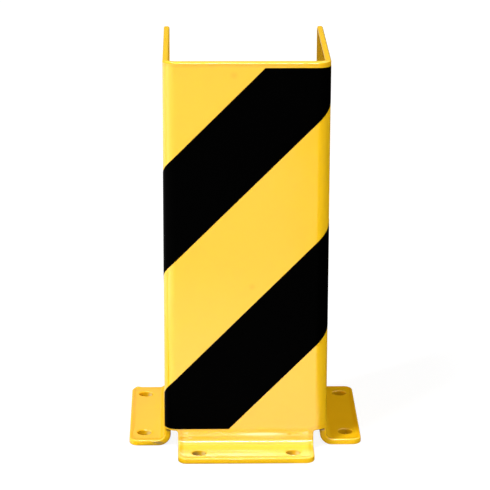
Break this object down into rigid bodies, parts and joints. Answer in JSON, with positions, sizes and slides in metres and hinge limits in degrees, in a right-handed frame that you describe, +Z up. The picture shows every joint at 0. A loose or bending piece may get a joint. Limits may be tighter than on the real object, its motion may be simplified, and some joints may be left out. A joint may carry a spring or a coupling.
{
  "type": "u-profile impact protector",
  "caption": "U-shaped guard folded from sheet steel for the foot of a rack upright, with outward feet that bolt to the floor and black diagonal warning stripes on yellow.",
  "frame": {"origin": "on the floor, under the middle of the overall footprint: the feet's free edges are at X -117.5 and +117.5 mm and Y -101.5 mm, and the side walls end at Y +101.5 mm", "axes": "+Z up; the web faces -Y and the open side of the U faces +Y; +X to the right of someone who faces the web"},
  "size_m": [0.235, 0.203, 0.4],
  "materials": {
    "yellow_coat": "glossy yellow powder coat, slightly thicker along the cut edges",
    "black_film": "smooth dull black adhesive film"
  },
  "bodies": {
    "root": {"folded_profile": "yellow_coat", "upper_stripe": "black_film", "lower_stripe": "black_film"}
  },
  "joints": []
}
